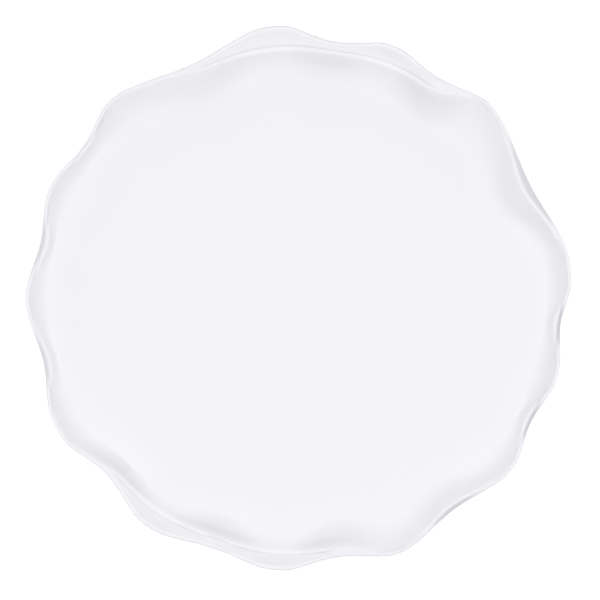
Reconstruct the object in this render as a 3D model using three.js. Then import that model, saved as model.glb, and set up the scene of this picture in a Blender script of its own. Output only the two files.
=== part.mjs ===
// A round dinner plate of glazed white ceramic with a ruffled rim.
// Millimetres, +Z up. The plate stands on its foot ring at z = 0.
import * as THREE from 'three';

// Rim: the outline of the finished lip
const RIM_RADIUS = 138.1; // reach of a usual lobe
const OUTLINE_POWER = 0.8; // below 1 the outline draws in sooner beside a lobe
const CREST_POWER = 0.95; // the same for the crest

// Usual lobe and dip, which LOBES varies
const LOBE_EXTRA = 1; // reach beyond RIM_RADIUS
const LOBE_HEIGHT = 12.5; // top of the lip on a lobe
const LOBE_WALL = 20; // from RIM_RADIUS in to the flat well on a lobe
const DIP_DEPTH = 5; // how far the outline draws in
const DIP_PINCH = 2.5; // how much further in the crest stands
const DIP_CREST = 12.5; // top of the crest
const DIP_WALL = 20; // from RIM_RADIUS in to the flat well in a dip

// Wall: its curve from the flat well to the crest
const FOOT_SHARE = 0.42; // share of the wall's run over which it turns up from the floor
const PULL_SHARE = 0.33; // share over which it settles to its slope at the crest
const SCOOP = 2.1; // slope at the crest for each part of the wall's mean slope
const SCOOP_FADE = 0.45; // share of that lost where a fold begins or the rim fully rolls over

// Standing rim: the wall comes to a crest, and in the dips the rim rolls over from there to the lip
const LOBE_FLAP = 3; // from the lip in to the crest on a lobe
const LOBE_CLIMB = 1.3; // from the crest up to the lip on a lobe
const DIP_FLAP = 1.2; // from the lip in to the crest in a dip that doesn't roll over
const ROLL_DROP = 1.1; // fall of the lip in a dip for each millimetre of roll
const ROLL_FULL = 4; // roll at which the wall fully eases before the crest
const ROLL_LEAVE = 9; // turn over at the crest for each millimetre of roll, in degrees
const ROLL_LEAN = 22; // turn over at the lip for each millimetre of roll, in degrees

// Folded rim: the wall ends in a ridge, and a flap lies outward from it
const FOLD_START = 0.3; // share of the way to a folded lobe at which the fold begins
const FOLD_FULL = 0.6;
const SETTLE_START = 0.15; // the same for the heights of the rim
const SETTLE_FULL = 0.85;
const RIDGE_INSET = 11.35; // from the reach of the rim in to the ridge in a dip
const RIDGE_SWAY = 0.9; // the ridge stands this much further out on a lobe
const RIDGE_SHIFT = 1.45; // and this much further toward -Y
const RIDGE_HEIGHT = 10.9; // top of the ridge on a lobe
const RIDGE_TILT = 1.9; // the ridge is this much higher at +Y and lower at -Y
const FLAP_CLIMB = 0.6; // from the ridge up to the lip in a folded dip
const FLAP_LOBE_SLOPE = 28; // slope of the flap at the lip, in degrees
const FLAP_DIP_SLOPE = -10;
const FLAP_HOLD = 0.38; // share of the flap that keeps its slope at each end
const BEAD_SHARE = 0.25; // height of the bead along a folded lip, for each millimetre of roll
const BEAD_WIDTH = 1.9; // half of the bead's width
const STEP_DROP = 0.7; // the flap steps down this much outside the ridge
const STEP_WIDTH = 2.2;

// Ceramic body, glaze and foot ring
const FLOOR_THICKNESS = 3.6;
const LIP_THICKNESS = 1.4;
const GLAZE_THICKNESS = 0.3;
const FOOT_RADIUS = 88;
const FOOT_WIDTH = 4.5; // of the bare ring that touches the table
const FOOT_HEIGHT = 3;
const FOOT_TAPER = 1.2; // each side of the foot spreads this much toward the floor above it
const BARE_HEIGHT = 0.8; // the glaze stops this far above the table
const BARE_BEVEL = 0.5;

// Facets
const STEPS_PER_LOBE = 8;
const WALL_STEPS = 4; // from the well to the crest
const FLAP_STEPS = 3; // from the crest to the lip
const LIP_STEPS = 3;
const SQUARE_REACH = 0.018; // share of the wall to each side over which its direction is taken

// The lobes around the rim: angle from +X and half of the level top in degrees, whether the lobe is folded
// outward (1) or stands up (0), and its other sizes as shares of the usual ones. Then the same shares of
// the dip that follows it
const LOBES = [
  { angle: 5, flat: 4.5, fold: 0, extra: 0.5, height: 1.024, wall: 0.675,
    dip: 1.4, pinch: 1.44, crest: 1.2, dipWall: 1.39 },
  { angle: 45, flat: 0.5, fold: 0, extra: 0, height: 1.264, wall: 1.365,
    dip: 1.06, pinch: 0.48, crest: 1.456, dipWall: 1.59 },
  { angle: 69, flat: 1.5, fold: 1, extra: -1.7, height: 1.296, wall: 1.455,
    dip: 1.32, pinch: 0.08, crest: 1.384, dipWall: 1.705 },
  { angle: 95.5, flat: 2.5, fold: 1, extra: -0.2, height: 1.28, wall: 1.36,
    dip: 1.66, pinch: 0.24, crest: 1.296, dipWall: 1.61 },
  { angle: 133.5, flat: 1, fold: 0, extra: -0.5, height: 1.264, wall: 1.205,
    dip: 0.92, pinch: 0.48, crest: 0.864, dipWall: 0.75 },
  { angle: 156, flat: 1.5, fold: 0, extra: -0.7, height: 0.976, wall: 0.73,
    dip: 0.76, pinch: 1.2, crest: 0.752, dipWall: 0.66 },
  { angle: 180.5, flat: 1, fold: 0, extra: -0.4, height: 0.928, wall: 0.65,
    dip: 1, pinch: 0.96, crest: 0.736, dipWall: 0.66 },
  { angle: 208.5, flat: 3.8, fold: 0, extra: 0.5, height: 0.992, wall: 0.69,
    dip: 1.36, pinch: 0, crest: 1.04, dipWall: 0.955 },
  { angle: 237, flat: 2.3, fold: 1, extra: 0.5, height: 1.008, wall: 0.955,
    dip: 0.98, pinch: 1.2, crest: 1.168, dipWall: 1.205 },
  { angle: 265.5, flat: 2.2, fold: 1, extra: -0.2, height: 1.008, wall: 0.955,
    dip: 1.24, pinch: 0, crest: 1.152, dipWall: 1.235 },
  { angle: 292, flat: 1.8, fold: 0, extra: 0.6, height: 1.024, wall: 0.955,
    dip: 1.06, pinch: 1.04, crest: 1.056, dipWall: 1.08 },
  { angle: 321.5, flat: 1.4, fold: 0, extra: 0.9, height: 1.008, wall: 0.73,
    dip: 0.78, pinch: 1.04, crest: 0.816, dipWall: 0.655 },
  { angle: 343, flat: 1.2, fold: 0, extra: -0.4, height: 1.04, wall: 0.755,
    dip: 0.84, pinch: 1.04, crest: 0.8, dipWall: 0.635 },
];

const FLOOR_MIDDLE = FOOT_HEIGHT + FLOOR_THICKNESS / 2;
const LIP_ROUND = LIP_THICKNESS / 2 + GLAZE_THICKNESS; // radius of the finished lip
const CREST_SHARE = WALL_STEPS / (WALL_STEPS + FLAP_STEPS);
const { clamp, lerp, smoothstep, degToRad, radToDeg } = THREE.MathUtils;

function point(radius, height) {
  return new THREE.Vector2(radius, height);
}

// A step of some length along a slope in degrees
function along(slope, length) {
  const angle = degToRad(slope);
  return point(Math.cos(angle) * length, Math.sin(angle) * length);
}

function ease(share) {
  return smoothstep(share, 0, 1);
}

// A smooth hump that is 1 at the middle and 0 beyond its half width
function swell(value, middle, halfWidth) {
  return ease(1 - Math.abs(value - middle) / halfWidth);
}

// What the rim does at a share of the way from one lobe to the next
function rimBetween(lobe, next, share) {
  const span = THREE.MathUtils.euclideanModulo(next.angle - lobe.angle, 360);
  const flat = (share < 0.5 ? lobe.flat : next.flat) / span;
  const fromLobe = Math.max(Math.min(share, 1 - share) - flat, 0) / (0.5 - flat);
  const outlineDip = DIP_DEPTH * lobe.dip * ease(fromLobe ** OUTLINE_POWER);
  const inward = ease(fromLobe ** CREST_POWER);
  const eased = ease(share);
  const extra = LOBE_EXTRA * lerp(lobe.extra, next.extra, eased);
  const crestDip = (DIP_DEPTH * lobe.dip + DIP_PINCH * lobe.pinch) * inward;
  const lobeWall = LOBE_WALL * lerp(lobe.wall, next.wall, eased);
  const folded = lerp(lobe.fold, next.fold, share);
  return {
    angle: degToRad(lobe.angle + span * share),
    inward,
    lobeHeight: LOBE_HEIGHT * lerp(lobe.height, next.height, eased),
    dipHeight: DIP_CREST * lobe.crest,
    wall: lerp(lobeWall, DIP_WALL * lobe.dipWall, inward),
    roll: Math.max(crestDip - outlineDip, 0),
    fold: smoothstep(folded, FOLD_START, FOLD_FULL),
    settle: smoothstep(folded, SETTLE_START, SETTLE_FULL),
    reach: RIM_RADIUS + extra - outlineDip,
  };
}

// Where the middle line of the wall leaves the flat well
function wallStart(rim) {
  return point(RIM_RADIUS - rim.wall, FLOOR_MIDDLE);
}

// Middle of the thickness at the crest, which is the ridge where the rim is folded
function crestMiddle(rim) {
  const inset = lerp(LOBE_FLAP, DIP_FLAP + rim.roll, rim.inward);
  const away = Math.sin(rim.angle);
  const ridge = RIM_RADIUS - RIDGE_INSET + RIDGE_SWAY * (1 - rim.inward) - RIDGE_SHIFT * away;
  const ridgeHeight = RIDGE_HEIGHT + RIDGE_TILT * away;
  const lobeHeight = lerp(rim.lobeHeight - LOBE_CLIMB, ridgeHeight, rim.settle);
  const height = lerp(lobeHeight, rim.dipHeight, rim.inward);
  return point(lerp(rim.reach - inset, ridge, rim.fold), height - LIP_ROUND);
}

// Middle of the thickness at the lip
function lipMiddle(rim) {
  const crest = crestMiddle(rim);
  const radius = rim.reach - LIP_ROUND;
  const dipLevel = crest.y + lerp(-ROLL_DROP * rim.roll, FLAP_CLIMB, rim.settle);
  return point(radius, lerp(rim.lobeHeight - LIP_ROUND, dipLevel, rim.inward));
}

// Slopes of the middle line as it comes to the crest, leaves it and ends at the lip.
// The crest fades to a smooth bend where a fold begins
function slopes(rim) {
  const wall = crestMiddle(rim).sub(wallStart(rim));
  const fading = 4 * rim.settle * (1 - rim.settle);
  const fade = SCOOP_FADE * Math.max(fading, ease(rim.roll / ROLL_FULL));
  const come = radToDeg(Math.atan2(SCOOP * (1 - fade) * wall.y, wall.x));
  const lobeSlope = come * (1 - rim.inward);
  const flapEnd = lerp(FLAP_LOBE_SLOPE, FLAP_DIP_SLOPE, rim.inward);
  const leave = lerp(lobeSlope - ROLL_LEAVE * rim.roll, 0, rim.fold);
  return {
    come,
    leave: lerp(leave, come, Math.max(fading / 2, swell(rim.fold, 0.5, 0.5))),
    end: lerp(lobeSlope - ROLL_LEAN * rim.roll, flapEnd, rim.fold),
  };
}

// Point on the middle line from the well at 0 to the crest at 1
function onWall(rim, share) {
  const start = wallStart(rim);
  const crest = crestMiddle(rim);
  const run = crest.x - start.x;
  const leave = start.clone().add(point(FOOT_SHARE * run, 0));
  const pull = PULL_SHARE * run;
  const arrive = crest.clone().sub(point(pull, Math.tan(degToRad(slopes(rim).come)) * pull));
  return new THREE.CubicBezierCurve(start, leave, arrive, crest).getPoint(share);
}

// Point on the middle line from the crest at 0 to the lip at 1
function onFlap(rim, share) {
  const crest = crestMiddle(rim);
  const lip = lipMiddle(rim);
  const slope = slopes(rim);
  const hold = crest.distanceTo(lip) * FLAP_HOLD;
  const leave = crest.clone().add(along(slope.leave, hold));
  const arrive = lip.clone().sub(along(slope.end, hold));
  const spot = new THREE.CubicBezierCurve(crest, leave, arrive, lip).getPoint(share);
  const stepped = ease((spot.x - crest.x) / STEP_WIDTH) * (1 - share);
  const bead = BEAD_SHARE * rim.roll * swell(spot.x, lip.x - rim.roll, BEAD_WIDTH);
  spot.y += rim.fold * bead - STEP_DROP * ease(2 * rim.fold - 1) * stepped;
  return spot;
}

// Point on the whole middle line from the well at 0 to the lip at 1
function onMiddle(rim, share) {
  if (share <= CREST_SHARE) {
    return onWall(rim, share / CREST_SHARE);
  }
  return onFlap(rim, (share - CREST_SHARE) / (1 - CREST_SHARE));
}

// Direction square to the middle line, toward the side that food lies on
function squareTo(rim, share) {
  if (share === 0) {
    return point(0, 1);
  }
  const before = onMiddle(rim, share - SQUARE_REACH);
  const after = onMiddle(rim, Math.min(share + SQUARE_REACH, 1));
  const run = after.sub(before).normalize();
  return point(-run.y, run.x);
}

// The skin around the wall at a distance outside the body, from the underside over the lip to the well
function wallSkin(rim, outside) {
  const steps = WALL_STEPS + FLAP_STEPS;
  const start = onMiddle(rim, 0);
  const lip = onMiddle(rim, 1);
  const under = [];
  const over = [];
  for (let step = 0; step <= steps; step += 1) {
    const share = step / steps;
    const spot = onMiddle(rim, share);
    const square = squareTo(rim, share);
    const thinned = clamp((spot.x - start.x) / (lip.x - start.x), 0, 1);
    const half = lerp(FLOOR_THICKNESS, LIP_THICKNESS, thinned) / 2 + outside;
    under.push(spot.clone().addScaledVector(square, -half));
    over.unshift(spot.clone().addScaledVector(square, half));
  }
  const lipTurn = [];
  for (let step = 1; step < LIP_STEPS; step += 1) {
    const turn = (step / LIP_STEPS) * Math.PI;
    lipTurn.push(under[steps].clone().rotateAround(lip, turn));
  }
  return [...under, ...lipTurn, ...over];
}

// Outer side of the foot ring from the glaze line up to the underside
function footOutside(outside) {
  return [
    point(FOOT_RADIUS + outside, BARE_HEIGHT),
    point(FOOT_RADIUS + FOOT_TAPER + outside, FOOT_HEIGHT - outside),
  ];
}

// Inner side of the foot ring from the floor of the recess down to the glaze line
function footInside(outside) {
  const inner = FOOT_RADIUS - FOOT_WIDTH - 2 * BARE_BEVEL;
  return [
    point(0, FOOT_HEIGHT - outside),
    point(inner - FOOT_TAPER - outside, FOOT_HEIGHT - outside),
    point(inner - outside, BARE_HEIGHT),
  ];
}

// Bare face of the foot ring, with its two bevels worn in from the glaze lines
function footFace() {
  return [
    point(FOOT_RADIUS - BARE_BEVEL - FOOT_WIDTH, 0),
    point(FOOT_RADIUS - BARE_BEVEL, 0),
  ];
}

function wellCentre(outside) {
  return point(0, FOOT_HEIGHT + FLOOR_THICKNESS + outside);
}

// Outlines of the three pieces at one angle, each from its lowest point on the axis to its highest
function bodyOutline(rim) {
  return [...footInside(0), ...footFace(), ...footOutside(0), ...wallSkin(rim, 0), wellCentre(0)];
}

function coatOutline(rim) {
  const inner = [...footOutside(0), ...wallSkin(rim, 0), wellCentre(0)];
  const outer = [...footOutside(GLAZE_THICKNESS), ...wallSkin(rim, GLAZE_THICKNESS)];
  return [...inner.reverse(), ...outer, wellCentre(GLAZE_THICKNESS)];
}

function baseOutline() {
  return [...footInside(GLAZE_THICKNESS), ...footInside(0).reverse()];
}

const rims = LOBES.flatMap((lobe, index) => {
  const next = LOBES[(index + 1) % LOBES.length];
  const shares = Array.from({ length: STEPS_PER_LOBE }, (unused, step) => step / STEPS_PER_LOBE);
  return shares.map((share) => rimBetween(lobe, next, share));
});

// Skin drawn through an outline carried around the axis, each quad split along its shorter diagonal
function turned(outlineAt) {
  const outlines = rims.map(outlineAt);
  const rows = outlines[0].length;
  const spots = outlines.flatMap((outline, column) => {
    const acrossX = Math.cos(rims[column].angle);
    const acrossY = Math.sin(rims[column].angle);
    return outline.map((spot) => new THREE.Vector3(spot.x * acrossX, spot.x * acrossY, spot.y));
  });
  const triangles = [];
  for (let column = 0; column < rims.length; column += 1) {
    const beside = (column + 1) % rims.length;
    for (let row = 0; row < rows - 1; row += 1) {
      const a = column * rows + row;
      const b = beside * rows + row;
      const c = b + 1;
      const d = a + 1;
      const alongAC = spots[a].distanceTo(spots[c]) < spots[b].distanceTo(spots[d]);
      const corners = alongAC ? [a, b, c, a, c, d] : [a, b, d, b, c, d];
      triangles.push(...corners);
    }
  }
  const skin = new THREE.BufferGeometry().setFromPoints(spots);
  skin.setIndex(triangles);
  skin.computeVertexNormals();
  return skin;
}

function piece(name, outlineAt, color, roughness) {
  const material = new THREE.MeshStandardMaterial({ name, color, roughness });
  const mesh = new THREE.Mesh(turned(outlineAt), material);
  mesh.name = name;
  return mesh;
}

const plate = new THREE.Group();
plate.name = 'plate';
plate.add(
  piece('ceramic_body', bodyOutline, 0xe6e2da, 0.8),
  piece('glaze_coat', coatOutline, 0xf3f2f7, 0.12),
  piece('base_glaze', baseOutline, 0xf0eff3, 0.15),
);

export default plate;
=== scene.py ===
"""A white glazed dinner plate with a ruffled rim, set out for a studio picture from straight above."""

import logging
import math
from collections.abc import Callable
from dataclasses import dataclass
from enum import Enum

import bmesh
import bpy
from mathutils import Matrix, Vector


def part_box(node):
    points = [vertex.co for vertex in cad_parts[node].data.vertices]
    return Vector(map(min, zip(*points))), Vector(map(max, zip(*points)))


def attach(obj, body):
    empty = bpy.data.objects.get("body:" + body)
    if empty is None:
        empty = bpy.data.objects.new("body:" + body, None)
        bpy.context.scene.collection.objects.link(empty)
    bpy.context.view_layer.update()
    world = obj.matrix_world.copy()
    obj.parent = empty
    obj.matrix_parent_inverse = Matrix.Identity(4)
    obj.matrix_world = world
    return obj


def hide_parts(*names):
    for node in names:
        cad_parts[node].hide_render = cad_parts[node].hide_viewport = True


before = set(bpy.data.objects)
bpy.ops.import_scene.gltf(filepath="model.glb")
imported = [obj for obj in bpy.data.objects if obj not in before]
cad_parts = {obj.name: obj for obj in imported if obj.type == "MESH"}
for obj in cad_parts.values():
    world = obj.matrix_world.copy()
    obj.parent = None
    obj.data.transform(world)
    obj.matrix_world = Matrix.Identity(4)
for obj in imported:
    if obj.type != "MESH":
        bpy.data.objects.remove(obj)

LOG = logging.getLogger("plate")

# The attribute that holds the glaze's tone at a point, from 0, pale, to 1, dark: how thick the glaze lies,
# with painted highlights and painted shade.
GLAZE_AND_LIGHT_LAYER = "glaze_depth_and_painted_light"
USUAL_DEPTH = 0.5

# The middle of the values that a cloudy pattern has.
NOISE_MEAN = 0.5

# Share of the points of a rounded corner that lie on each of its straight runs.
CORNER_RUN = 0.3

# How near two points are when they count as one, in units of the spun tube and in metres on the plate.
TUBE_SLACK = 1e-4
PLATE_SLACK = 1e-6

Colour = tuple[float, float, float]
Place = tuple[float, float, float]


def mix(first: float, second: float, share: float) -> float:
    """Return the value at a share of the way from the first to the second."""
    return first + (second - first) * share


def ease(share: float) -> float:
    """Return a share eased at both of its ends."""
    kept = min(max(share, 0.0), 1.0)
    return kept * kept * (3.0 - 2.0 * kept)


def swell(share: float, middle: float, half_width: float) -> float:
    """Return a smooth hump that is 1 at its middle and 0 beyond its half width."""
    return ease(1.0 - abs(share - middle) / half_width)


def cubic(start: Vector, leave: Vector, arrive: Vector, end: Vector, share: float) -> Vector:
    """Return a point on a cubic curve.

    Args:
        start: First point of the curve.
        leave: Point that the curve leaves the start toward.
        arrive: Point that the curve comes to the end from.
        end: Last point of the curve.
        share: How far along the curve the point is, from 0 to 1.

    Returns:
        The point on the curve.
    """
    rest = 1.0 - share
    near_start = start * rest**3 + leave * (3.0 * rest * rest * share)
    near_end = arrive * (3.0 * rest * share * share) + end * share**3
    return near_start + near_end


def bend(start: Vector, corner: Vector, end: Vector, share: float) -> Vector:
    """Return a point on a curve that leaves its start toward a corner and comes to its end from there."""
    return start.lerp(corner, share).lerp(corner.lerp(end, share), share)


def rounded_corner(start: Vector, corner: Vector, end: Vector, fillet: float, share: float) -> Vector:
    """Find a point on two straight runs that meet in a rounded corner.

    Args:
        start: Where the first run starts.
        corner: Where the two runs would meet.
        end: Where the last run ends.
        fillet: Distance from the corner to each end of the rounding.
        share: How far along the point is, from 0 to 1. Each run takes CORNER_RUN of it.

    Returns:
        The point.
    """
    before = corner + (start - corner).normalized() * fillet
    after = corner + (end - corner).normalized() * fillet
    if share < CORNER_RUN:
        return start.lerp(before, share / CORNER_RUN)
    if share < 1.0 - CORNER_RUN:
        return bend(before, corner, after, (share - CORNER_RUN) / (1.0 - 2.0 * CORNER_RUN))
    return after.lerp(end, (share - (1.0 - CORNER_RUN)) / CORNER_RUN)


@dataclass(frozen=True)
class Rise:
    """An eased rise.

    Attributes:
        start: Where it starts from 0.
        span: How far it is from there to the full height.
        height: The full height.
    """

    start: float
    span: float
    height: float = 1.0

    def at(self, value: float) -> float:
        """Return the height at a value."""
        return self.height * ease((value - self.start) / self.span)


@dataclass(frozen=True)
class Hump:
    """A smooth hump.

    Attributes:
        middle: Where it is highest.
        half_width: How far it reaches to each side.
        height: Its height in the middle.
    """

    middle: float
    half_width: float
    height: float = 1.0

    def at(self, value: float) -> float:
        """Return the height at a value."""
        return self.height * swell(value, self.middle, self.half_width)


class RimStyle(Enum):
    """How the wall meets the lip on a lobe. The value is how far the rim is folded outward."""

    STANDING = 0.0
    LEANING = 0.22
    FOLDED = 1.0

    @property
    def crease(self) -> float:
        """Return 1 where the fold has a crease and 0 elsewhere."""
        return 1.0 if self is RimStyle.FOLDED else 0.0


class Side(Enum):
    """The two skins of the wall. The value is the way to them from the middle of its thickness."""

    UNDER = -1.0
    OVER = 1.0


@dataclass(frozen=True)
class Lobe:
    """One outward lobe of the rim, and the dip that follows it.

    Attributes:
        angle: Direction of the lobe from +X, in degrees.
        extra: Reach beyond that of a usual lobe, in metres.
        flat: Half of the lobe's level top, in degrees.
        style: Whether the wall stands there, leans into a fold beside it or is folded outward.
        height: Top of the lip on the lobe, in metres.
        wall: From the reach of the rim in to the flat well on the lobe, in metres.
        dip: How far the outline draws in after the lobe, in metres.
        pinch: How far the crest of the rim stands in from the outline there, in metres.
        crest: Top of the crest in that dip, in metres.
        dip_wall: From the reach of the rim in to the flat well in that dip, in metres.
    """

    angle: float
    extra: float
    flat: float
    style: RimStyle
    height: float
    wall: float
    dip: float
    pinch: float
    crest: float
    dip_wall: float


@dataclass(frozen=True)
class RimSpot:
    """What the rim does at one angle.

    Attributes:
        angle: Direction from +X, in radians.
        inward: 0 on a lobe and 1 in the middle of a dip.
        lobe_height: Top of the lip on the lobes to each side, in metres.
        dip_height: Top of the crest in the dip, in metres.
        wall: From the reach of the rim in to the flat well, in metres.
        roll: How far the rim rolls over beyond the crest, in metres.
        fold: How far the rim is folded outward, from 0 to 1.
        crease: How sharp the crease of the fold is, from 0 to 1.
        settle: How far it has settled to the heights of a folded rim, from 0 to 1.
        reach: Distance of the finished lip from the axis, in metres.
    """

    angle: float
    inward: float
    lobe_height: float
    dip_height: float
    wall: float
    roll: float
    fold: float
    crease: float
    settle: float
    reach: float


@dataclass(frozen=True)
class Ruffle:
    """The run of the rim around the plate: its lobes, and the dips between them.

    Between two lobes the rim goes from the style of one to that of the other, and the fold, its crease
    and the settling follow that change.

    Attributes:
        reach: Distance of a usual lobe's lip from the axis, in metres.
        folding: How far the rim is folded, by the style that it has reached.
        creasing: How sharp the crease is, by how far the rim is folded.
        settling: How far the rim has settled to the heights of a folded one, by its style.
        rounding: How softly a lobe's level top turns into a dip, as a share of the way to the next lobe.
        outline_power: How soon the outline draws in beside a lobe: the lower, the sooner.
        lip_power: How soon the crest draws in beside a lobe.
        lobes: The lobes, in order around the plate.
    """

    reach: float = 0.1381
    folding: Rise = Rise(0.3, 0.3)
    creasing: Rise = Rise(0.5, 0.5)
    settling: Rise = Rise(0.15, 0.7)
    rounding: float = 0.035
    outline_power: float = 0.8
    lip_power: float = 0.95
    lobes: tuple[Lobe, ...] = (
        # angle, extra, flat, style, height, wall, dip, pinch, crest and dip_wall
        Lobe(6.0, 0.001, 3.0, RimStyle.STANDING, 0.0128, 0.0135, 0.0073, 0.0036, 0.015, 0.0278),
        Lobe(45.5, 0.0, 0.5, RimStyle.LEANING, 0.0158, 0.0273, 0.0053, 0.0012, 0.0182, 0.0318),
        Lobe(69.0, -0.0017, 1.5, RimStyle.FOLDED, 0.0162, 0.0291, 0.0066, 0.0002, 0.0173, 0.0341),
        Lobe(95.0, -0.0002, 2.3, RimStyle.FOLDED, 0.016, 0.0272, 0.0083, 0.0006, 0.0162, 0.0322),
        Lobe(133.5, -0.0005, 1.0, RimStyle.STANDING, 0.0158, 0.0241, 0.0042, 0.0007, 0.0106, 0.0145),
        Lobe(156.0, -0.0007, 1.5, RimStyle.STANDING, 0.0122, 0.0146, 0.0038, 0.0023, 0.009, 0.0123),
        Lobe(180.0, -0.0002, 1.0, RimStyle.STANDING, 0.0116, 0.013, 0.005, 0.0022, 0.009, 0.0129),
        Lobe(208.5, 0.0007, 3.0, RimStyle.STANDING, 0.0124, 0.015, 0.0071, 0.0, 0.013, 0.0191),
        Lobe(237.0, 0.0005, 1.9, RimStyle.FOLDED, 0.0126, 0.0191, 0.0049, 0.003, 0.0146, 0.0241),
        Lobe(265.5, 0.0001, 2.2, RimStyle.FOLDED, 0.0126, 0.0203, 0.0062, 0.0, 0.0156, 0.0272),
        Lobe(292.0, 0.001, 1.0, RimStyle.LEANING, 0.0144, 0.0212, 0.0057, 0.0019, 0.014, 0.0238),
        Lobe(321.1, 0.0009, 1.4, RimStyle.STANDING, 0.0126, 0.0146, 0.0039, 0.0018, 0.0096, 0.0121),
        Lobe(343.0, -0.0004, 1.2, RimStyle.STANDING, 0.013, 0.0151, 0.0039, 0.002, 0.0094, 0.012),
    )

    def spot(self, angle: float) -> RimSpot:
        """Work out what the rim does at an angle.

        Args:
            angle: Direction from +X, in radians.

        Returns:
            The spot of the rim at that angle.
        """
        following = self.lobes[1:] + self.lobes[:1]
        for lobe, after in zip(self.lobes, following):
            span = (after.angle - lobe.angle) % 360.0
            share = ((math.degrees(angle) - lobe.angle) % 360.0) / span
            if share < 1.0:
                break
        eased = ease(share)
        flat = (lobe.flat if share < 0.5 else after.flat) / span
        # From 0 on the level top of the nearer lobe to 1 halfway between the two, with a soft start.
        beyond = min(share, 1.0 - share) - flat
        rounded = math.hypot(beyond, min(self.rounding, flat))
        from_lobe = (beyond + rounded) / 2.0 / (0.5 - flat)
        folded = mix(lobe.style.value, after.style.value, share)
        creased = mix(lobe.style.crease, after.style.crease, share)
        outline_dip = lobe.dip * ease(from_lobe**self.outline_power)
        inward = ease(from_lobe**self.lip_power)
        drawn = (lobe.dip + lobe.pinch) * inward
        return RimSpot(
            angle=angle,
            inward=inward,
            lobe_height=mix(lobe.height, after.height, eased),
            dip_height=lobe.crest,
            wall=mix(mix(lobe.wall, after.wall, eased), lobe.dip_wall, inward),
            roll=max(drawn - outline_dip, 0.0),
            fold=self.folding.at(folded),
            crease=self.creasing.at(self.folding.at(creased)),
            settle=self.settling.at(folded),
            reach=self.reach + mix(lobe.extra, after.extra, eased) - outline_dip,
        )


@dataclass(frozen=True)
class FootSizes:
    """The foot ring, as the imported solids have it, in metres.

    Attributes:
        radius: Outer radius of the ring at its glaze line.
        inner_radius: Inner radius of the ring at its glaze line.
        height: From the table to the underside of the body.
        bare_height: From the table to the glaze lines.
        bevel: How far each edge of the bare face is worn in.
        taper: How far each side of the ring spreads toward the floor above it.
        fillet: Size of the rounding where a side meets the underside.
        bare_width: Width of the bare face between its worn edges.
    """

    radius: float
    inner_radius: float
    height: float
    bare_height: float
    bevel: float = 0.0005
    taper: float = 0.0012
    fillet: float = 0.0011
    bare_width: float = 0.0045

    @classmethod
    def from_frame(cls) -> "FootSizes":
        """Read the foot ring's heights and radii from the glaze inside it.

        Returns:
            The sizes of the foot ring.
        """
        low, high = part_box("base_glaze")
        outer = high.x + cls.bare_width + 2.0 * cls.bevel
        return cls(radius=outer, inner_radius=high.x, height=high.z, bare_height=low.z)


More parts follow.
